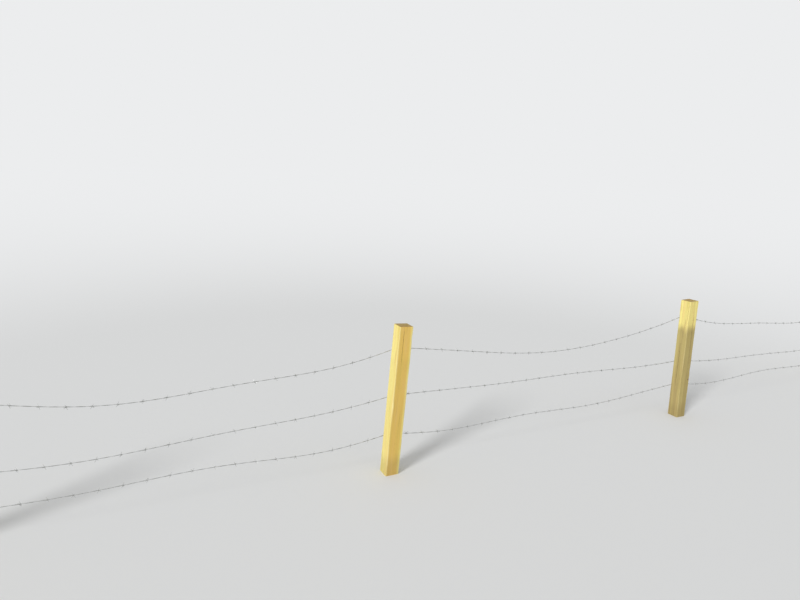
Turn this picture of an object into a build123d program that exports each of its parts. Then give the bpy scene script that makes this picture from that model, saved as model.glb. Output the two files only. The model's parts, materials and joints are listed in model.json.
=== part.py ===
"""A post and barbed-wire field fence: square sawn posts carrying three slack strands."""
from build123d import *
from math import cos, pi, radians, sin, tan
import os

# Posts, in millimetres and degrees: X runs along the fence, the strands are on the +Y faces
post_size = 100.0
post_height = 1080.0
arris = 3.0
bay_length = 2900.0
lean_by_post = [0.0, 0.0, 3.6, -1.9, 0.0]
foot_allowance = 20.0

# Strands: where they are stapled to the middle post
strand_diameter = 5.0
strand_sides = 6
seat_gap = 0.2
top_strand_drop = 175.0
bottom_strand_height = 270.0
middle_strand_share = 0.45

# Each strand: how much higher it is stapled on each post, and how it hangs in a bay beside
# the middle post: its sag, then the waves of two, three and four half lengths left in the wire
runs_per_bay = 20
rise_by_post = {
    "top": [10.0, 25.0, 0.0, 20.0, 5.0],
    "middle": [-30.0, -55.0, 0.0, -50.0, -20.0],
    "bottom": [-10.0, -30.0, 0.0, 15.0, 5.0],
}
hang_to_left = {
    "top": [174.0, -5.0, 1.0, 14.0],
    "middle": [95.0, -15.0, -8.0, 5.0],
    "bottom": [32.0, 8.0, -16.0, 10.0],
}
hang_to_right = {
    "top": [169.0, 12.0, 9.0, 3.0],
    "middle": [8.0, 0.0, -5.0, 4.0],
    "bottom": [59.0, -2.0, -11.0, -10.0],
}

# End ties: the strand turns round the end post and is wound back on itself
corner_cut = 4.0
tie_turns = 4
tie_pitch = 15.0
tie_steps = 8

# Barbs: at each knot two short cut wires cross at a right angle, beside the strand, and lean along it
barb_pitch = 130.0
barb_wire = 2.0
barb_length = 35.0
barb_cut = 3.0
barb_lean = 25.0
barb_clearance = 40.0
barb_turn = 37.0

# Staples
staple_wire = 4.0
staple_sides = 6
staple_clearance = 1.5
crown_clearance = 0.3
crown_steps = 5

half_post = post_size / 2
strand_offset = strand_diameter / 2 + seat_gap
wire_y = half_post + strand_offset
posts = len(lean_by_post)
mid_post = posts // 2
top_strand_height = post_height - top_strand_drop
strand_span = top_strand_height - bottom_strand_height
strand_heights = {
    "top": top_strand_height,
    "middle": bottom_strand_height + middle_strand_share * strand_span,
    "bottom": bottom_strand_height,
}


def post_x(number):
    """Where a post's foot stands along the fence; posts count from the left end."""
    return (number - mid_post) * bay_length


def support(name, number):
    """The point where a strand crosses the back of a post."""
    height = strand_heights[name] + rise_by_post[name][number]
    lean = radians(lean_by_post[number])
    return Vector(post_x(number) + height * tan(lean), wire_y, height)


def span_points(start, end, hang):
    """Points between two supports: the parabola of a slack wire, with the waves set in it."""
    sag, *waves = hang
    points = []
    for step in range(1, runs_per_bay):
        share = step / runs_per_bay
        z = -4 * sag * share * (1 - share)
        for count, wave in enumerate(waves, start=2):
            z += wave * sin(count * pi * share)
        points.append(start + (end - start) * share + Vector(0, 0, z))
    return points


def mirrored(hang):
    """The same hang seen from the other side: waves of an even count change sign."""
    sag, second, third, fourth = hang
    return [sag, -second, third, -fourth]


def strand_points(name):
    """The corners of a strand from the left end post's staple to the right one's."""
    left, right = hang_to_left[name], hang_to_right[name]
    hangs = {mid_post - 1: left, mid_post: right}
    supports = [support(name, number) for number in range(posts)]
    points = [supports[0]]
    for number, (start, end) in enumerate(zip(supports, supports[1:])):
        other = mirrored(right) if number < mid_post else mirrored(left)
        points += span_points(start, end, hangs.get(number, other)) + [end]
    return points


def tie_points(last, before, side):
    """The tie's corners round an end post, then its open turns round the strand."""
    slope = (last.Z - before.Z) / abs(last.X - before.X)
    radius = (strand_diameter + seat_gap) / cos(pi / tie_steps)
    start_z = last.Z - slope * wire_y
    fall = last.Z - (start_z + radius)
    round_post = [(1, 1, 0.25), (1, -1, 0.5), (-1, -1, 0.75)]
    points = []
    for outward, back, share in round_post:
        corner = Vector(last.X + side * outward * wire_y, back * wire_y, last.Z - share * fall)
        along = Vector(side * corner_cut * outward, 0, 0)
        across = Vector(0, back * corner_cut, 0)
        pair = [corner - along, corner - across]
        points += pair if outward * back > 0 else pair[::-1]
    for step in range(tie_turns * tie_steps + 1):
        angle = 2 * pi * step / tie_steps
        run = tie_pitch * step / tie_steps
        x = last.X - side * (wire_y + run)
        z = start_z - slope * run + radius * cos(angle)
        points.append(Vector(x, wire_y + radius * sin(angle), z))
    return points


def knot_places(points):
    """A place for each knot, evenly spaced in a bay and turned a little from its neighbour."""
    clear_bay = bay_length - post_size - 2 * barb_clearance
    count = int(clear_bay // barb_pitch) + 1
    first = (bay_length - (count - 1) * barb_pitch) / 2
    places = []
    for number in range(posts - 1):
        for step in range(count):
            x = post_x(number) + first + step * barb_pitch
            start, end = next(run for run in zip(points, points[1:]) if run[0].X <= x <= run[1].X)
            on_strand = start + (end - start) * ((x - start.X) / (end.X - start.X))
            knot_plane = Plane(origin=on_strand, x_dir=end - start, z_dir=Vector(0, 1, 0))
            places.append(Location(knot_plane) * Rotation(barb_turn * len(places), 0, 0))
    return places


os.makedirs("parts", exist_ok=True)

# Posts: sawn square, arrises just eased, each cut off flat where it meets the ground
for number in range(posts):
    lean = radians(lean_by_post[number])
    up = (sin(lean), 0, cos(lean))
    foot = Plane(origin=(post_x(number), 0, 0), x_dir=(cos(lean), 0, -sin(lean)), z_dir=up)
    with BuildPart() as post:
        with BuildSketch(foot.offset(-foot_allowance)):
            Rectangle(post_size, post_size)
        extrude(amount=post_height + foot_allowance)
        chamfer(post.edges().filter_by(Axis((0, 0, 0), up)), arris)
        split(bisect_by=Plane.XY, keep=Keep.TOP)
    post.part.label = f"post_{number + 1}"
    export_step(post.part, f"parts/{post.part.label}.step")

# One knot of barbs, round a strand that runs along X: a cut wire at its side and one over it
beside = strand_diameter / 2 + seat_gap
half_length = barb_length / 2
barb_angle = radians(barb_lean)
from_middle = seat_gap / 2 - beside * tan(barb_angle)
at_side = Plane((from_middle, 0, 0), x_dir=(0, 1, 0), z_dir=(cos(barb_angle), 0, -sin(barb_angle)))
over_it = Plane((-from_middle, 0, 0), x_dir=(0, 0, 1), z_dir=(-cos(barb_angle), -sin(barb_angle), 0))
cut_outline = [
    (beside, -half_length),
    (beside + barb_wire, -half_length + barb_cut),
    (beside + barb_wire, half_length),
    (beside, half_length - barb_cut),
]
with BuildPart() as knot:
    with BuildSketch(at_side, over_it):
        Polygon(*cut_outline, align=None)
    extrude(amount=barb_wire)

# Strands, lofted straight from the section at one corner to the next, with their barbs, and at each
# end the tie, which meets the strand behind the post
for name in strand_heights:
    points = strand_points(name)
    ties = {"left": tie_points(points[0], points[1], -1), "right": tie_points(points[-1], points[-2], 1)}
    joints = {"left": (points[0] + ties["left"][0]) / 2, "right": (points[-1] + ties["right"][0]) / 2}

    route = [joints["left"]] + points + [joints["right"]]
    runs = [(end - start).normalized() for start, end in zip(route, route[1:])]
    with BuildPart() as strand:
        for point, before, after in zip(route, runs[:1] + runs, runs + runs[-1:]):
            heading = before + after
            with BuildSketch(Plane(origin=point, x_dir=heading.cross(Vector(0, 1, 0)), z_dir=heading)):
                RegularPolygon(strand_diameter / 2, strand_sides)
        loft(ruled=True)
    strand.part.label = f"strand_{name}"
    export_step(strand.part, f"parts/{strand.part.label}.step")

    with BuildPart() as barbs:
        with Locations(*knot_places(points)):
            add(knot.part)
    barbs.part.label = f"barbs_{name}"
    export_step(barbs.part, f"parts/{barbs.part.label}.step")

    for side, corners in ties.items():
        with BuildPart() as tie:
            with BuildLine() as path:
                Polyline(joints[side], *corners)
            with BuildSketch(Plane(origin=path.line @ 0, z_dir=path.line % 0)):
                RegularPolygon(strand_diameter / 2, strand_sides)
            sweep(path=path.line, transition=Transition.RIGHT)
        tie.part.label = f"end_tie_{name}_{side}"
        export_step(tie.part, f"parts/{tie.part.label}.step")

# Staples: a bent wire over the strand, its two legs on the post's back face
crown_radius = strand_diameter / 2 + staple_clearance + staple_wire / 2
crown_flat = cos(pi / 2 / crown_steps)
leg_top = seat_gap + strand_diameter + crown_clearance + staple_wire / 2 - crown_radius * crown_flat
for name in strand_heights:
    for number in range(posts):
        centre = support(name, number)
        corners = [Vector(centre.X, half_post, centre.Z - crown_radius)]
        for step in range(crown_steps + 1):
            angle = pi * step / crown_steps
            out = half_post + leg_top + crown_radius * sin(angle)
            corners.append(Vector(centre.X, out, centre.Z - crown_radius * cos(angle)))
        corners.append(Vector(centre.X, half_post, centre.Z + crown_radius))
        with BuildPart() as staple:
            with BuildLine() as bend:
                Polyline(*corners)
            with BuildSketch(Plane(origin=corners[0], z_dir=(0, 1, 0))):
                RegularPolygon(staple_wire / 2, staple_sides)
            sweep(path=bend.line, transition=Transition.RIGHT)
        staple.part.label = f"staple_{name}_{number + 1}"
        export_step(staple.part, f"parts/{staple.part.label}.step")
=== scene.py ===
"""A field fence of sawn posts and slack barbed wire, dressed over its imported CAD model.

Metres and degrees: X runs along the fence, the wire is on the +Y side of the posts, Z is up.
"""
import json
from math import cos, pi, radians, sin, tan

import bpy
import numpy as np
from mathutils import Matrix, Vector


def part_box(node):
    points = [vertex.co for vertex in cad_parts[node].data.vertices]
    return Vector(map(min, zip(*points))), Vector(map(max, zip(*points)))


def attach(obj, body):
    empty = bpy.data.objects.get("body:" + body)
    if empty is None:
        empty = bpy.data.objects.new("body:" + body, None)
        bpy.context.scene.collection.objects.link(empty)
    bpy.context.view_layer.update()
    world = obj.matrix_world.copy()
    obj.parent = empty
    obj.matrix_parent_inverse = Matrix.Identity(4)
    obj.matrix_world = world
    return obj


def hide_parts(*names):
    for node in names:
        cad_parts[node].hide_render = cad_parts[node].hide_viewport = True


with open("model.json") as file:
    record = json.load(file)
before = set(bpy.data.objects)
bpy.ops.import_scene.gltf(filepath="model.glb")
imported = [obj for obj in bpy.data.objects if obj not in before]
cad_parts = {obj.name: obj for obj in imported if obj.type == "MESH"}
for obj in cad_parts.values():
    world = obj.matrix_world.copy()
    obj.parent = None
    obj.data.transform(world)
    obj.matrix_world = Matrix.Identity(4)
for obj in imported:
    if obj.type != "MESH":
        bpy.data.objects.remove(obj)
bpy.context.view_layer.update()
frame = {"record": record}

# Posts: square sawn softwood, pressure treated and driven in by hand, so that some of them lean.
# Each is one length of timber with worn arrises, a few knots and drying checks, and a sawn
# top that shows the end grain. The foot ends flat at height 0.
post_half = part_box("post_1")[1].y
post_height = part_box("post_1")[1].z
arris = 0.0032
bruise_length = 0.022
top_edge = 0.0014
top_slope = 0.010
saw_depth = 0.0003
saw_pitch = 0.011
wave_depth = 0.0003
streak_depth = 0.00028
groove_depth = 0.0009
check_mouth = 0.0011
check_slit = 0.0003
column_wander = 0.05
branch_rise = 0.25
branch_core = 0.35
far_from_knots = 4.0
ring_width = 0.0055
ring_bend = 0.016
ring_push = 0.012
wood_relief = 0.0006
stain_length = 0.09
stain_width = 0.006
stain_above = 0.12
fullest_stain = 0.8
flat_columns = 20
arris_steps = 3
side_rows = 250
sharp_angle = 38.0
bottom_scales = [0.12, 0.55]
top_scales = [0.9, 0.78, 0.64, 0.5, 0.36, 0.22, 0.1]
side_along = np.array([(1, 0), (0, 1), (-1, 0), (0, -1)], float)
side_out = np.array([(0, -1), (1, 0), (0, 1), (-1, 0)], float)

# Each post: its lean, where its pith lies in the section, how strongly its lower part is painted with a
# shadow and how far it has weathered, its checks as (side, gap between columns, from, to, depth), its
# knots as (height, heading, radius), and its bruised arrises as (corner, height, size). Sides count
# front, right, back, left from 0, and a corner has the number of the side before it.
timbers = {
    "post_1": {
        "lean": 0.0, "pith": (0.020, 0.030), "weathering": 0.3,
        "checks": [(0, 8, 0.46, 1.08, 0.009), (3, 12, 0.10, 0.62, 0.006), (2, 5, 0.62, 0.97, 0.005)],
        "knots": [(0.31, -100, 0.011), (0.74, 170, 0.009)],
        "bruises": [(0, 0.88, 0.006), (3, 0.33, 0.004)],
    },
    "post_2": {
        "lean": 0.0, "pith": (-0.030, -0.020), "weathering": 0.2,
        "checks": [(1, 9, 0.52, 1.08, 0.008), (2, 13, 0.16, 0.58, 0.005)],
        "knots": [(0.55, -80, 0.010), (0.22, 10, 0.008), (0.93, 95, 0.009)],
        "bruises": [(1, 0.61, 0.005)],
    },
    "post_3": {
        "lean": 3.6, "pith": (-0.006, -0.046), "weathering": 0.1,
        "checks": [(0, 6, 0.80, 1.08, 0.004), (1, 11, 0.30, 0.78, 0.006), (2, 7, 0.50, 1.08, 0.007)],
        "knots": [(0.42, 35, 0.010), (0.83, 60, 0.009), (0.18, 15, 0.007)],
        "bruises": [(0, 1.00, 0.004), (3, 0.52, 0.003)],
    },
    # Post 4's lower part is painted darkest: mostly a painted cast shadow, with some weathered streaks.
    "post_4": {
        "lean": -1.9, "pith": (0.016, 0.040), "weathering": 0.8,
        "checks": [(0, 11, 0.42, 1.08, 0.008), (3, 8, 0.28, 0.70, 0.006), (1, 6, 0.66, 1.08, 0.007)],
        "knots": [(0.33, -75, 0.005), (0.71, 100, 0.010)],
        "bruises": [(0, 0.44, 0.005), (2, 0.92, 0.005)],
    },
    "post_5": {
        "lean": 0.0, "pith": (0.026, 0.010), "weathering": 0.35,
        "checks": [(0, 10, 0.20, 0.72, 0.007), (2, 9, 0.55, 1.08, 0.007)],
        "knots": [(0.64, -95, 0.011), (0.28, 85, 0.009)],
        "bruises": [(3, 0.79, 0.005)],
    },
}
post_numbers = range(1, len(timbers) + 1)


def drift(seed, along, length):
    """A smooth random curve from about -1 to 1: four sine waves, the first of that length and each
    later one shorter and weaker, with phases drawn from the seed."""
    phases = np.random.default_rng(seed).uniform(0, 2 * pi, 4)
    waves = [np.sin(2 * pi * along * (k + 1) ** 1.4 / length + phases[k]) / (k + 1) for k in range(4)]
    return sum(waves) / 1.7


def four_drifts(seed, along, length):
    """A drift for each of a post's four sides or corners, from that seed and the three after it."""
    return np.stack([drift(seed + side, along, length) for side in range(4)])


def post_columns(checks):
    """The columns of a post's skin, side by side round it. Each is (side, share across the flat, turn
    over the arris, check, offset): a check adds three columns in the middle of a gap, at its lip, its
    bottom and its other lip, and an arris adds a few that turn from one side to the next."""
    check_at = {(side, gap): number for number, (side, gap, *_) in enumerate(checks)}
    columns = []
    for side in range(4):
        for gap, share in enumerate(np.linspace(-1, 1, flat_columns)):
            columns.append((side, share, 0.0, -1, 0))
            if (side, gap) in check_at:
                middle = share + 1 / (flat_columns - 1)
                columns += [(side, middle, 0.0, check_at[side, gap], offset) for offset in (-1, 0, 1)]
        columns += [(side, 1.0, step / arris_steps, -1, 0) for step in range(1, arris_steps)]
    side, share, turn, check, offset = (np.array(values) for values in zip(*columns))
    return side.astype(int), share, turn, check.astype(int), offset


def check_opening(height, low, high):
    """How far a drying check stands open along the post, from 0 at its ends to 1: half an ellipse from
    end to end, or a quarter of one that is widest at the top where it runs out of the end grain."""
    middle = high if high >= post_height else (low + high) / 2
    return np.sqrt(np.clip(1 - ((height - middle) / (middle - low)) ** 2, 0, 1))


def knot_nearness(x, y, height, pith, knots):
    """The distance from the nearest knot's branch, in its radii: a branch grows out and up from the
    pith as a slim cone, and a point's distance is measured square to that line."""
    nearest = np.full(x.shape, far_from_knots)
    for knot_height, heading, radius in knots:
        out = np.array([cos(radians(heading)), sin(radians(heading)), branch_rise])
        out /= np.linalg.norm(out)
        away = np.stack([x - pith[0], y - pith[1], height - knot_height], axis=-1)
        along = np.clip(away @ out, 0.001, None)
        off_axis = np.linalg.norm(away - along[..., None] * out, axis=-1)
        reach = radius * (branch_core + (1 - branch_core) * along / post_half)
        nearest = np.minimum(nearest, off_axis / reach)
    return nearest


def post_surface(seed, lean, pith, checks, knots, bruises):
    """A post's skin as rings of points, from the middle of its foot up its sides to the middle of its
    top, and what its finish reads there: the point's place in the stick's own section and height, how
    near a knot is, how far the nearest arris is and how deep a check is, both in millimetres, and
    whether it is end grain.
    A ring is a square whose corners are arcs of that height's arris radius. It is sunk by fine
    streaks and shallow waves, by a groove round each knot and by each check's depth, then scaled in
    over foot and top. The sawn top slopes a little, its own way on each post."""
    side, share, turn, check, offset = post_columns(checks)
    under_foot, over_top = np.zeros(len(bottom_scales)), np.ones(1 + len(top_scales))
    rise = np.concatenate([under_foot, np.linspace(0, 1, side_rows), over_top])[:, None]
    first_inset = 1 - top_edge / post_half
    scale = np.concatenate([bottom_scales, np.ones(side_rows), [first_inset], top_scales])[:, None]
    on_top = np.arange(len(rise))[:, None] >= len(bottom_scales) + side_rows
    level = rise[:, 0] * (post_height - top_edge)
    height = level[:, None] + np.zeros(len(side))

    radius = arris * (1.1 + 0.3 * four_drifts(seed, level, 0.7))
    for corner, at, size in bruises:
        radius[corner] += size * np.exp(-((level - at) / bruise_length) ** 2)
    after, before = radius[side].T, radius[side - 1].T
    wander = column_wander * four_drifts(seed + 20, level, 1.1)[side].T
    across = share + wander * (1 - share ** 2)
    flat = (across + 1) / 2 * (post_half - after) - (1 - across) / 2 * (post_half - before)

    opening = np.zeros(flat.shape)
    depth = np.zeros(flat.shape)
    for number, (_, _, low, high, deepest) in enumerate(checks):
        mine = check == number
        shape = check_opening(height, low, high) * (0.85 + 0.15 * drift(seed + 40 + number, height, 0.12))
        opening += np.where(mine, shape, 0) * offset * check_mouth
        depth += np.where(mine & (offset == 0), shape * deepest, 0)
    flat = flat + opening + np.where(check >= 0, offset * check_slit, 0)

    turned_out, turned_along = np.cos(turn * pi / 2), np.sin(turn * pi / 2)
    outward = side_out[side] * turned_out[:, None] + side_along[side] * turned_along[:, None]
    along = side_along[side] * (flat + after * turned_along)[..., None]
    out = side_out[side] * (post_half - after * (1 - turned_out))[..., None]
    sound = along + out
    streaks = np.random.default_rng(seed + 60).uniform(0, streak_depth, len(side))
    waves = wave_depth * (1 + four_drifts(seed + 80, level, 0.35)[side].T)
    nearness = knot_nearness(sound[..., 0], sound[..., 1], height, pith, knots)
    groove = groove_depth * np.exp(-((nearness - 1.25) / 0.35) ** 2)
    section = (sound - outward * (depth + streaks + waves + groove)[..., None]) * scale[..., None]
    sound = sound * scale[..., None]

    lean = radians(lean)
    right, back = section[..., 0], section[..., 1]
    foot_plane = right * tan(lean)
    saw_marks = saw_depth * (1 + np.sin(2 * pi * (right + 0.4 * back) / saw_pitch + seed))
    slope = top_slope * (1.45 * post_half - right * cos(seed) - back * sin(seed))
    at_top = post_height - saw_marks - slope
    up_sides = foot_plane + rise * (at_top - top_edge - foot_plane)
    stick_height = np.where(on_top, at_top, up_sides)
    stick = np.concatenate([sound, stick_height[..., None]], axis=-1)

    x = right * cos(lean) + stick_height * sin(lean)
    z = np.maximum(stick_height * cos(lean) - right * sin(lean), 0)
    marks = {
        "stick": stick,
        "knot": knot_nearness(sound[..., 0], sound[..., 1], stick_height, pith, knots),
        "to_arris": np.where(on_top, post_half, (1 - np.abs(share)) * post_half) * 1000,
        "cleft": depth * 1000 * scale ** 3,
        "end_grain": on_top + np.zeros(depth.shape),
    }
    return np.stack([x, back, z], axis=-1), marks


def skin(name, tubes, attributes=None):
    """One mesh from tubes, an array over (tube, ring, corner, xyz): two neighbouring corners of two
    neighbouring rings make a face, and each tube's first and last rings are closed with a face."""
    count, rings, corners = tubes.shape[:3]
    index = np.arange(count * rings * corners).reshape(count, rings, corners)
    turned = np.roll(index, -1, axis=2)
    walls = np.stack([index[:, :-1], turned[:, :-1], turned[:, 1:], index[:, 1:]], axis=-1).reshape(-1, 4)
    ends = np.concatenate([index[:, 0, ::-1], index[:, -1]])
    mesh = bpy.data.meshes.new(name)
    mesh.from_pydata(tubes.reshape(-1, 3).tolist(), [], walls.tolist() + ends.tolist())
    for title, values in (attributes or {}).items():
        one_number = values.size == count * rings * corners
        layer = mesh.attributes.new(title, "FLOAT" if one_number else "FLOAT_VECTOR", "POINT")
        layer.data.foreach_set("value" if one_number else "vector", values.astype(np.float32).ravel())
    mesh.shade_smooth()
    mesh.set_sharp_from_angle(angle=radians(sharp_angle))
    made = bpy.data.objects.new(name, mesh)
    bpy.context.scene.collection.objects.link(made)
    return made


def paint(red, green, blue):
    """A colour named by its three bytes, as the light that it gives back: each byte's share of 255,
    less the display's curve, which is a power of 2.4 above a short straight start."""
    shares = [byte / 255 for byte in (red, green, blue)]
    return (*[s / 12.92 if s <= 0.04045 else ((s + 0.055) / 1.055) ** 2.4 for s in shares], 1.0)


class Shade:
    """A value in a material's node tree. Arithmetic on it adds Math nodes; node() adds any other."""

    def __init__(self, tree, socket=None):
        self.tree = tree
        self.socket = socket

    def feed(self, node, inputs):
        """Gives a node's sockets, by name or number, a value or a link from another Shade."""
        live = [socket for socket in node.inputs if socket.enabled]
        for key, value in inputs.items():
            socket = live[key] if isinstance(key, int) else next(s for s in live if s.name == key)
            if isinstance(value, Shade):
                self.tree.links.new(value.socket, socket)
            else:
                socket.default_value = value

    def node(self, kind, settings, inputs, output=None):
        """Adds a node of a kind: its settings first, then its sockets. Gives its first output, or the
        one that is named."""
        made = self.tree.nodes.new(kind)
        for title, value in settings.items():
            setattr(made, title, value)
        self.feed(made, inputs)
        first = next(socket for socket in made.outputs if socket.enabled)
        return Shade(self.tree, made.outputs[output] if output else first)

    def also(self, output):
        """Another output of the node that gives this."""
        return Shade(self.tree, self.socket.node.outputs[output])

    def math(self, operation, *others):
        """A Math node's result from this and the others."""
        return self.node("ShaderNodeMath", {"operation": operation}, dict(enumerate((self, *others))))

    def __add__(self, other):
        return self.math("ADD", other)

    def __sub__(self, other):
        return self.math("SUBTRACT", other)

    def __rsub__(self, other):
        return self.node("ShaderNodeMath", {"operation": "SUBTRACT"}, {0: other, 1: self})

    def __mul__(self, other):
        return self.math("MULTIPLY", other)

    def __truediv__(self, other):
        return self.math("DIVIDE", other)

    def __pow__(self, other):
        return self.math("POWER", other)

    __radd__ = __add__
    __rmul__ = __mul__

    def rising(self, low, high):
        """0 below low and 1 above high, with a smooth step between."""
        settings = {"interpolation_type": "SMOOTHSTEP"}
        inputs = {"Value": self, "From Min": low, "From Max": high}
        return self.node("ShaderNodeMapRange", settings, inputs)

    def attribute(self, title, output="Fac"):
        """What the mesh holds under that name."""
        return self.node("ShaderNodeAttribute", {"attribute_name": title}, {}, output)

    def noise(self, scales, detail=2.0, roughness=0.5):
        """Soft noise from 0 to 1 over this place, whose three directions are scaled first."""
        place = self.node("ShaderNodeVectorMath", {"operation": "MULTIPLY"}, {0: self, 1: scales})
        inputs = {"Vector": place, "Scale": 1.0, "Detail": detail, "Roughness": roughness}
        return self.node("ShaderNodeTexNoise", {}, inputs)

    def mix(self, plain, full):
        """The plain colour where this is 0 and the full one where it is 1."""
        inputs = {"Factor": self, "A": plain, "B": full}
        return self.node("ShaderNodeMix", {"data_type": "RGBA"}, inputs)

    def bump(self, distance):
        """A surface raised by this, times that distance."""
        return self.node("ShaderNodeBump", {}, {"Strength": 1.0, "Distance": distance, "Height": self})


def new_finish(name):
    """A material, its surface shader, and a Shade that starts its nodes."""
    material = bpy.data.materials.new(name)
    material.use_nodes = True
    return material, material.node_tree.nodes["Principled BSDF"], Shade(material.node_tree)


def sawn_timber(name, pith, weathering):
    """Sawn softwood, in the stick's own section and height. Growth rings are circles round the pith,
    bent by slow noise and pushed out round knots: pale early wood turns to darker late wood across
    each ring. Heartwood round the pith is more golden, and slow noise shifts the tone to olive here
    and to tan there. The arrises are worn pale, hairline cracks and grime follow the fibres, the lower
    part is darkened to a dull brown by a painted shadow and by weathered streaks, and the staples'
    iron leaves grey stains."""
    material, surface, start = new_finish(name)
    stick = start.attribute("stick", "Vector")
    x = stick.node("ShaderNodeSeparateXYZ", {}, {0: stick})
    y, height = x.also("Y"), x.also("Z")
    knot = start.attribute("knot")
    bend = stick.noise((9, 9, 1.6)) * ring_bend - ring_bend / 2
    from_pith = ((x - pith[0] + bend) ** 2 + (y - pith[1] - bend) ** 2) ** 0.5
    pushed = from_pith + (1 - knot.rising(0.7, 3.0)) * ring_push
    late = (pushed / ring_width).math("FRACT") ** 2.5
    fibre = stick.noise((650, 650, 12), detail=3)
    streak = stick.noise((45, 45, 1.1), detail=3).rising(0.35, 0.8)
    patch = stick.noise((16, 16, 3.5), detail=3)
    hairline = stick.noise((230, 230, 3.2), detail=2, roughness=0.4).rising(0.66, 0.74)
    grime = stick.noise((120, 120, 40), detail=4).rising(0.52, 0.78)

    heart = 1 - from_pith.rising(0.030, 0.056)
    body = heart.mix(paint(252, 238, 147), paint(238, 200, 102))
    tone = stick.noise((22, 22, 2.6), detail=2)
    body = (tone.rising(0.50, 0.68) * 0.35).mix(body, paint(218, 196, 92))
    body = ((1 - tone.rising(0.32, 0.50)) * 0.35).mix(body, paint(242, 204, 136))
    body = (late * 0.35).mix(body, paint(206, 160, 74))
    body = (fibre.rising(0.45, 0.8) * 0.25).mix(body, paint(218, 184, 104))
    # Painted shadow: below about 0.9 m each post is darkened to a shaded dull brown, as under a cast
    # shadow, most of all on post 4. Wood streaks darken with it as weathering.
    painted_shadow_below = 1 - (height + patch * 0.14).rising(0.86, 0.96)
    dull = (painted_shadow_below * 0.8 + streak * 0.3) * weathering
    body = dull.math("MINIMUM", 1.0).mix(body, paint(146, 126, 84))
    damp = (1 - (height - patch * 0.12).rising(0.0, 0.12)) * 0.3
    body = damp.mix(body, paint(136, 116, 72))
    body = (grime * (0.10 + weathering * 0.15)).mix(body, paint(150, 124, 78))
    body = (hairline * (0.35 + weathering * 0.35)).mix(body, paint(128, 96, 52))
    worn = (1 - start.attribute("to_arris").rising(0.5, 6.0)) * patch.rising(0.38, 0.62)
    body = (worn * (0.45 - weathering * 0.35)).mix(body, paint(255, 246, 186))
    body = ((1 - knot.rising(0.8, 1.15)) * 0.85).mix(body, paint(134, 88, 44))
    body = ((1 - knot.rising(0.25, 0.75)) * 0.6).mix(body, paint(96, 60, 34))
    body = start.attribute("cleft").rising(0.1, 1.6).mix(body, paint(92, 70, 42))
    body = (start.attribute("stain") * patch.rising(0.2, 0.7)).mix(body, paint(104, 98, 88))
    body = (start.attribute("end_grain") * (0.75 + late * 0.2)).mix(body, paint(150, 120, 70))

    saw = stick.noise((20, 20, 420), detail=1)
    fuzz = stick.noise((1400, 1400, 500), detail=2)
    relief = late * 0.6 + fibre * 0.5 + saw * 0.5 + fuzz * 0.25 - hairline * 0.9
    rough = 0.7 + fibre * 0.22
    start.feed(surface, {"Base Color": body, "Roughness": rough, "Normal": relief.bump(wood_relief)})
    return material


def staple_stain(stick, staple_levels):
    """Grey iron stain round each staple on the back of a post: it starts a little above the staple
    and fades out over a hand's breadth below it and over a few millimetres to each side."""
    stain = np.zeros(stick.shape[:2])
    for height in staple_levels:
        below = (height - stick[..., 2]) / stain_length
        sideways = np.exp(-(stick[..., 0] / stain_width) ** 2)
        stain += np.where(below > -stain_above, np.exp(-np.clip(below, 0, None)) * sideways, 0)
    return np.where(stick[..., 1] > post_half * 0.9, np.clip(stain, 0, fullest_stain), 0)


mounts = {mount["name"]: mount["pos_m"] for mount in frame["record"]["mounts"]}
strand_names = ["top", "middle", "bottom"]
for number, (name, timber) in enumerate(timbers.items(), start=1):
    boxes = [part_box(f"staple_{strand}_{number}") for strand in strand_names]
    staple_levels = [(low.z + high.z) / 2 for low, high in boxes]
    shape = {key: timber[key] for key in ("lean", "pith", "checks", "knots", "bruises")}
    surface, marks = post_surface(100 * number, **shape)
    surface[..., 0] += mounts[f"foot_{number}"][0]
    marks["stain"] = staple_stain(marks["stick"], staple_levels)
    post = skin(f"timber_{number}", surface[None], marks)
    post.data.materials.append(sawn_timber(f"sawn_timber_{number}", timber["pith"], timber["weathering"]))
    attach(post, "root")
    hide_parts(name)

# Strands and end ties: two plies of galvanised wire laid up together, unrolled along the line, held
# at each post by a staple, and left slack. At each end post the same length of wire turns round the
# post and is wound back on itself, so strand and ties are cut here from one route.
strand_lay = 0.130
ply_radius = 0.00125
ply_sides = 8
steps_in_lay = 12
tie_step = 0.0018
route_step = 0.001
wire_bend = 0.008
bay_points = 400
tie_turns = 4
turn_points = 32
tie_pitch = 0.015
tie_radius = 0.0054
corner_cut = 0.003
zinc_relief = 0.00008
hang_to_left = {
    "top": [0.174, -0.005, 0.001, 0.014],
    "middle": [0.095, -0.015, -0.008, 0.005],
    "bottom": [0.032, 0.008, -0.016, 0.010],
}
hang_to_right = {
    "top": [0.169, 0.012, 0.009, 0.003],
    "middle": [0.008, 0.0, -0.005, 0.004],
    "bottom": [0.059, -0.002, -0.011, -0.010],
}
strand_low, strand_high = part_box("strand_top")
wire_y = (strand_low.y + strand_high.y) / 2


def bay_line(start, end, hang):
    """A slack strand between two staples: the straight line, less the parabola of its sag, which is
    four times the sag times the share along and the share left, plus the sine waves set in the wire,
    of two, three and four half lengths in the bay."""
    share = np.linspace(0, 1, bay_points, endpoint=False)
    sag, *waves = hang
    drop = -4 * sag * share * (1 - share)
    drop += sum(wave * np.sin(count * pi * share) for count, wave in enumerate(waves, start=2))
    line = np.array(start) + share[:, None] * (np.array(end) - start)
    line[:, 2] += drop
    return line


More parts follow.
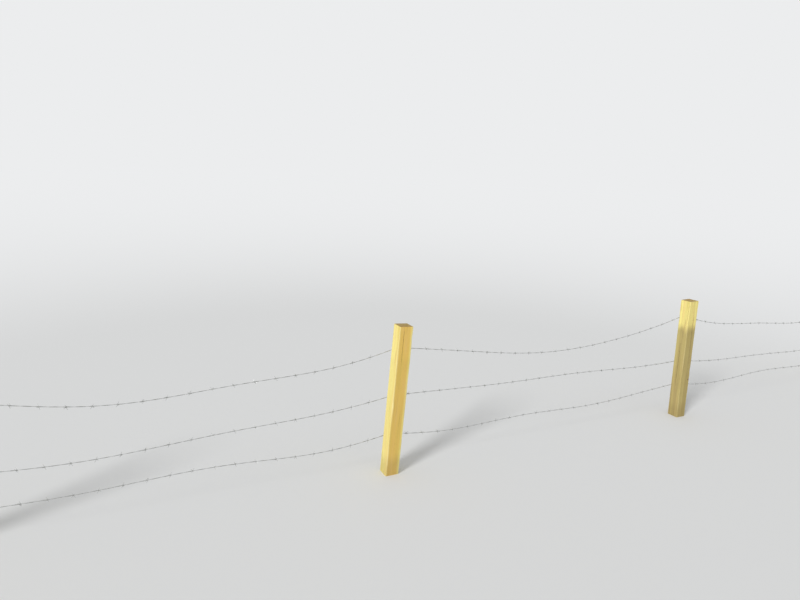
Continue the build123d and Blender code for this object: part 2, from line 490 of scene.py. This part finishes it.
def strand_line(name):
    """A strand from the first post's staple to the last one's, bay by bay. The two bays beside the
    middle post hang as the two lists say, and the bays beyond them are their mirror images, in which
    the waves of an even count change sign."""
    boxes = [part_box(f"staple_{name}_{number}") for number in post_numbers]
    staples = [((low.x + high.x) / 2, wire_y, (low.z + high.z) / 2) for low, high in boxes]
    mirror = np.array([1, -1, 1, -1])
    left, right = np.array(hang_to_left[name]), np.array(hang_to_right[name])
    hangs = [right * mirror, left, right, left * mirror]
    bays = [bay_line(*ends, hang) for *ends, hang in zip(staples, staples[1:], hangs)]
    return np.concatenate(bays + [[staples[-1]]])


def tie_line(line, side):
    """The tie at one end of a strand: round three corners of the post, each cut off a little and each
    another quarter of the fall lower, until it lies on the strand, then in turns about the strand
    like the thread of a screw."""
    last = line[0] if side < 0 else line[-1]

    def strand_height(x):
        """The strand's height at that place along the fence."""
        return np.interp(x, line[:, 0], line[:, 2])

    fall = last[2] - strand_height(last[0] - side * wire_y) - tie_radius
    corners = []
    for outward, back, share in ((1, 1, 0.25), (1, -1, 0.5), (-1, -1, 0.75)):
        corner = np.array([last[0] + side * outward * wire_y, back * wire_y, last[2] - share * fall])
        along = np.array([side * corner_cut * outward, 0, 0])
        across = np.array([0, back * corner_cut, 0])
        pair = [corner - along, corner - across]
        corners += pair if outward * back > 0 else pair[::-1]
    angle = np.linspace(0, 2 * pi * tie_turns, turn_points * tie_turns + 1)
    x = last[0] - side * (wire_y + tie_pitch * angle / (2 * pi))
    y = wire_y + tie_radius * np.sin(angle)
    z = strand_height(x) + tie_radius * np.cos(angle)
    return np.concatenate([corners, np.stack([x, y, z], axis=-1)])


def path_length(points):
    """How far along a path each of its points lies."""
    steps = np.linalg.norm(np.diff(points, axis=0), axis=1)
    return np.concatenate([[0], np.cumsum(steps)])


def read_off(places, known, points):
    """The points of a path at some places along it, straight between those that are known."""
    return np.stack([np.interp(places, known, coordinate) for coordinate in points.T], axis=-1)


def bent_route(points):
    """A path that a stiff wire can follow: the points joined by straight runs, read off every
    millimetre, and each coordinate averaged over a short stretch with a raised-cosine weight."""
    along = path_length(points)
    route = read_off(np.arange(0, along[-1], route_step), along, points)
    half = round(wire_bend / 2 / route_step)
    weight = np.hanning(2 * half + 3)[1:-1]
    weight = weight / weight.sum()
    padded = np.concatenate([np.repeat(route[:1], half, 0), route, np.repeat(route[-1:], half, 0)])
    return np.stack([np.convolve(coordinate, weight, "valid") for coordinate in padded.T], axis=-1)


def two_plies(route, places):
    """The two plies of a strand as tubes: at each place along the route, given in millimetre steps,
    the plies lie across the route from each other, turned by a whole turn every lay, and each has a
    ring of points round it, square to the route."""
    steps = np.arange(len(route))
    points = read_off(places, steps, route)
    heading = read_off(places, steps, np.gradient(route, axis=0))
    heading /= np.linalg.norm(heading, axis=-1, keepdims=True)
    sideways = np.cross(heading, (0, 0, 1))
    sideways /= np.linalg.norm(sideways, axis=-1, keepdims=True)
    upwards = np.cross(sideways, heading)

    def round_route(angle):
        """The way out from the route at that angle: its cosine sideways and its sine upwards."""
        across, up = np.cos(angle)[..., None], np.sin(angle)[..., None]
        return across * sideways[:, None] + up * upwards[:, None]

    lay_angle = 2 * pi * places * route_step / strand_lay
    ring_angle = np.linspace(0, 2 * pi, ply_sides, endpoint=False)
    ring = round_route(np.broadcast_to(-ring_angle, (len(places), ply_sides)))
    plies = []
    for opposite in (0, pi):
        middle = points + ply_radius * round_route((lay_angle + opposite)[:, None])[:, 0]
        plies.append(middle[:, None] + ply_radius * ring)
    return np.stack(plies)


def galvanised_steel(name, dull, rust):
    """Hot-dipped zinc that has weathered: light grey with a soft mottle and dull patches, darker where
    dirt lies, and here and there a freckle of rust."""
    material, surface, start = new_finish(name)
    place = start.node("ShaderNodeTexCoord", {}, {}, "Object")
    mottle = place.noise((260, 260, 260), detail=3)
    patch = place.noise((22, 22, 22), detail=2)
    freckle = place.noise((90, 420, 420), detail=3).rising(0.66 - rust * 0.1, 0.78)
    body = mottle.rising(0.3, 0.7).mix(paint(202, 203, 200), paint(170, 172, 171))
    body = (patch.rising(0.35, 0.75) * dull).mix(body, paint(134, 134, 130))
    body = (freckle * 0.75).mix(body, paint(128, 82, 48))
    metal = 0.85 - patch.rising(0.35, 0.75) * 0.35 - freckle * 0.4
    rough = 0.42 + mottle * 0.2 + freckle * 0.3
    relief = (mottle + freckle).bump(zinc_relief)
    start.feed(surface, {"Base Color": body, "Metallic": metal, "Roughness": rough, "Normal": relief})
    return material


zinc_wire = galvanised_steel("zinc_wire", 0.45, 0.0)
strand_lines = {name: strand_line(name) for name in strand_names}
for name, line in strand_lines.items():
    left, right = tie_line(line, -1), tie_line(line, 1)
    whole = np.concatenate([left[::-1], line, right])
    corner_places = [[len(left) - 1, len(left)], [len(left) + len(line) - 1, len(left) + len(line)]]
    joints = path_length(whole)[corner_places].mean(axis=1) / route_step
    route = bent_route(whole)
    stretches = {
        f"tied_end_{name}_left": (f"end_tie_{name}_left", 0, joints[0], tie_step),
        f"laid_strand_{name}": (f"strand_{name}", *joints, strand_lay / steps_in_lay),
        f"tied_end_{name}_right": (f"end_tie_{name}_right", joints[1], len(route) - 1, tie_step),
    }
    for piece_name, (node, first, last, step) in stretches.items():
        places = np.linspace(first, last, round((last - first) * route_step / step) + 1)
        wire = skin(piece_name, two_plies(route, places))
        wire.data.materials.append(zinc_wire)
        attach(wire, "root")
        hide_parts(node)

# Barbs: at every knot two short wires, cut at a slant, are each wound once round the strand and cross
# at a right angle, so that four points stand out and lean along the strand. The machine that winds
# them turns the strand, so each knot stands turned against the one before.
barb_pitch = 0.130
barb_clearance = 0.040
barb_turn = 37.0
barb_radius = 0.001
barb_reach = 0.0158
barb_bend = 0.0045
barb_lean = 33.0
barb_slant = 0.0022
barb_gap = 0.0001
barb_sides = 5
barb_steps = 8
knot_radius = 0.0036
knot_shift = 0.0021
slope_reach = 0.01


def barb_knots(line):
    """The barbs of a strand as tubes. A barb's middle line comes in leaning along the strand, bends to
    meet it on a tangent, makes one turn about it while it moves on by a wire's width, and leaves in
    the same way; its end rings are slanted like a cut. The knots are evenly spaced in each bay, and
    every barb is set square to the strand there, turned by its knot's angle."""
    feet = np.array([mounts[f"foot_{number}"][0] for number in post_numbers])
    bay = feet[1] - feet[0]
    clear_bay = bay - 2 * post_half - 2 * barb_clearance
    count = int(clear_bay // barb_pitch) + 1
    first = (bay - (count - 1) * barb_pitch) / 2
    x = (feet[:-1, None] + first + barb_pitch * np.arange(count)).ravel()
    low, z, high = (np.interp(x + step, line[:, 0], line[:, 2]) for step in (-slope_reach, 0, slope_reach))
    middle = np.stack([x, np.full(x.shape, wire_y), z], axis=-1)
    forward = np.stack([np.full(x.shape, 2 * slope_reach), np.zeros(x.shape), high - low], axis=-1)
    forward /= np.linalg.norm(forward, axis=-1, keepdims=True)
    back = np.array([0.0, 1.0, 0.0])
    down = np.cross(back, forward)

    angle = np.linspace(0, 2 * pi, barb_steps + 1)
    shift = knot_shift * angle / (2 * pi)
    turn = np.stack([shift, np.cos(angle) * knot_radius, np.sin(angle) * knot_radius], axis=-1)
    climb = np.full(angle.shape, knot_shift / (2 * pi * knot_radius))
    heading = np.stack([climb, -np.sin(angle), np.cos(angle)], axis=-1)
    lean = radians(barb_lean)
    point = np.array([(barb_reach - barb_bend) * tan(lean), 0, barb_reach])
    bend = np.array([0, 0, barb_bend])
    spine = np.concatenate([[turn[0] - point, turn[0] - bend], turn, [turn[-1] + bend, turn[-1] + point]])
    leaning, halfway = [(sin(lean), 0, cos(lean))], [(sin(lean / 2), 0, cos(lean / 2))]
    heading = np.concatenate([leaning, halfway, heading, halfway, leaning])
    heading /= np.linalg.norm(heading, axis=-1, keepdims=True)
    straight = [(0, 1, 0), (0, 1, 0)]
    radial = np.concatenate([straight, turn * (0, 1, 1) / knot_radius, straight])
    side = np.cross(heading, radial)
    ring = np.linspace(0, 2 * pi, barb_sides, endpoint=False)
    round_spine = np.cos(ring)[:, None] * radial[:, None] + np.sin(ring)[:, None] * side[:, None]
    cut = barb_slant / 2 * (1 - np.cos(ring))[:, None]
    barb = spine[:, None] + barb_radius * round_spine
    barb[0] += cut * heading[0]
    barb[-1] -= cut * heading[-1]

    aside = barb_radius + barb_gap
    crossed = np.stack([barb[..., 0] - knot_shift, -barb[..., 2], barb[..., 1]], axis=-1)
    pair = np.stack([barb + (aside, 0, 0), crossed - (aside, 0, 0)])
    turned = np.radians(barb_turn) * np.arange(len(x))
    across = np.cos(turned)[:, None] * down + np.sin(turned)[:, None] * back
    beyond = np.cos(turned)[:, None] * back - np.sin(turned)[:, None] * down
    axes = np.stack([forward, across, beyond], axis=1)
    knots = np.einsum("brcl,klw->kbrcw", pair, axes) + middle[:, None, None, None]
    return knots.reshape(-1, *barb.shape)


barb_wire = galvanised_steel("barb_wire", 0.3, 0.4)
for name, line in strand_lines.items():
    knots = skin(f"barb_knots_{name}", barb_knots(line))
    knots.data.materials.append(barb_wire)
    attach(knots, "root")
    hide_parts(f"barbs_{name}")

# Staples: heavy galvanised wire bent to a U and hammered in over the strand, which can still run
# through. No two are struck quite alike, so each stands a few degrees out of true.
staple_radius = 0.002
staple_sides = 8
crown_radius = 0.006
crown_top = 0.0075
crown_steps = 12
leg_bite = 0.003
largest_tilt = 9.0


def staple_surface(centre, tilt):
    """A staple as a tube: out of the wood below the strand, half a circle over it and back into the
    wood above, in an upright plane that is then tilted about the way out of the post."""
    angle = np.linspace(0, pi, crown_steps + 1)
    leg = crown_top - crown_radius
    arch = np.stack([leg + crown_radius * np.sin(angle), -crown_radius * np.cos(angle)], axis=-1)
    spine = np.concatenate([[(-leg_bite, -crown_radius)], arch, [(-leg_bite, crown_radius)]])
    outward = np.concatenate([[(0, -1)], np.stack([np.sin(angle), -np.cos(angle)], axis=-1), [(0, 1)]])
    ring = np.linspace(0, 2 * pi, staple_sides, endpoint=False)
    y_and_z = spine[:, None] + staple_radius * np.cos(ring)[None, :, None] * outward[:, None]
    sideways = np.broadcast_to(-staple_radius * np.sin(ring), y_and_z.shape[:2])
    x = centre[0] + cos(tilt) * sideways + sin(tilt) * y_and_z[..., 1]
    z = centre[2] + cos(tilt) * y_and_z[..., 1] - sin(tilt) * sideways
    return np.stack([x, post_half + y_and_z[..., 0], z], axis=-1)


staple_wire = galvanised_steel("staple_zinc", 0.8, 1.0)
tilts = np.random.default_rng(7).uniform(-largest_tilt, largest_tilt, (len(strand_names), len(timbers)))
for name, strand_tilts in zip(strand_names, tilts):
    for number, tilt in zip(post_numbers, strand_tilts):
        low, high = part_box(f"staple_{name}_{number}")
        tube = staple_surface((low + high) / 2, radians(tilt))
        staple = skin(f"driven_staple_{name}_{number}", tube[None])
        staple.data.materials.append(staple_wire)
        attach(staple, "root")
        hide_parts(f"staple_{name}_{number}")

# Floor and light: a plain pale floor that fades into the background far from the fence, one broad
# soft light from the front left, and even light from all round.
floor_radius = 90.0
rim_points = 96
fade_from = 4.5
fade_to = 80.0
background = paint(236, 237, 238)
even_light = 0.55
key_strength = 1.9
key_spread = 14.0
key_from_overhead = 58.0
key_heading = -62.0


def studio_floor():
    """A flat round floor: a ring of points at its edge and one face over them."""
    angle = np.linspace(0, 2 * pi, rim_points, endpoint=False)
    rim = np.stack([floor_radius * np.cos(angle), floor_radius * np.sin(angle), 0 * angle], axis=-1)
    mesh = bpy.data.meshes.new("studio_floor")
    mesh.from_pydata(rim.tolist(), [], [list(range(len(rim)))])
    made = bpy.data.objects.new("studio_floor", mesh)
    bpy.context.scene.collection.objects.link(made)
    return made


def floor_finish():
    """Pale matt floor. Away from the middle, rays from the camera see more and more of the background's
    colour, in a smooth step over one divided by the distance, so that the floor has no far edge."""
    material, surface, start = new_finish("floor_paint")
    place = start.node("ShaderNodeTexCoord", {}, {}, "Object")
    length = start.node("ShaderNodeVectorMath", {"operation": "LENGTH"}, {0: place}, "Value")
    seen = start.node("ShaderNodeLightPath", {}, {}, "Is Camera Ray")
    glow = start.node("ShaderNodeEmission", {}, {"Color": background, "Strength": 1.0})
    start.feed(surface, {"Base Color": paint(226, 227, 227), "Roughness": 0.9})
    matt = Shade(start.tree, surface.outputs["BSDF"])
    far = 1 - (length ** -1).rising(1 / fade_to, 1 / fade_from)
    both = start.node("ShaderNodeMixShader", {}, {0: far * seen, 1: matt, 2: glow})
    start.feed(material.node_tree.nodes["Material Output"], {"Surface": both})
    return material


floor = studio_floor()
floor.data.materials.append(floor_finish())

world = bpy.data.worlds.new("studio")
world.use_nodes = True
bpy.context.scene.world = world
light_world = Shade(world.node_tree)
seen = light_world.node("ShaderNodeLightPath", {}, {}, "Is Camera Ray")
seen = seen.math("MAXIMUM", seen.also("Is Glossy Ray")).math("MAXIMUM", seen.also("Is Transmission Ray"))
around = light_world.node("ShaderNodeBackground", {}, {"Color": (1, 1, 1, 1), "Strength": even_light})
behind = light_world.node("ShaderNodeBackground", {}, {"Color": background, "Strength": 1.0})
either = light_world.node("ShaderNodeMixShader", {}, {0: seen, 1: around, 2: behind})
light_world.feed(world.node_tree.nodes["World Output"], {"Surface": either})

key = bpy.data.objects.new("key_light", bpy.data.lights.new("key_light", "SUN"))
key.data.energy = key_strength
key.data.angle = radians(key_spread)
key.rotation_euler = (radians(key_from_overhead), 0, radians(key_heading))
bpy.context.scene.collection.objects.link(key)

# Camera: a little over two metres up on the side without wire, turned to the right along the fence
# and tipped a little down
camera_place = (-1.705, -3.54, 2.129)
camera_heading = 26.13
camera_dip = 12.52
camera_roll = 2.32
focal_pixels = 603.3
picture_width = 800
camera = bpy.data.objects.new("camera", bpy.data.cameras.new("camera"))
camera.data.sensor_width = 36.0
camera.data.lens = camera.data.sensor_width * focal_pixels / picture_width
turn_to_heading = Matrix.Rotation(radians(-camera_heading), 4, "Z")
tilt_down = Matrix.Rotation(radians(90 - camera_dip), 4, "X")
roll_over = Matrix.Rotation(radians(camera_roll), 4, "Z")
camera.matrix_world = Matrix.Translation(camera_place) @ turn_to_heading @ tilt_down @ roll_over
bpy.context.scene.collection.objects.link(camera)
bpy.context.scene.camera = camera
bpy.context.scene.view_settings.view_transform = "Standard"
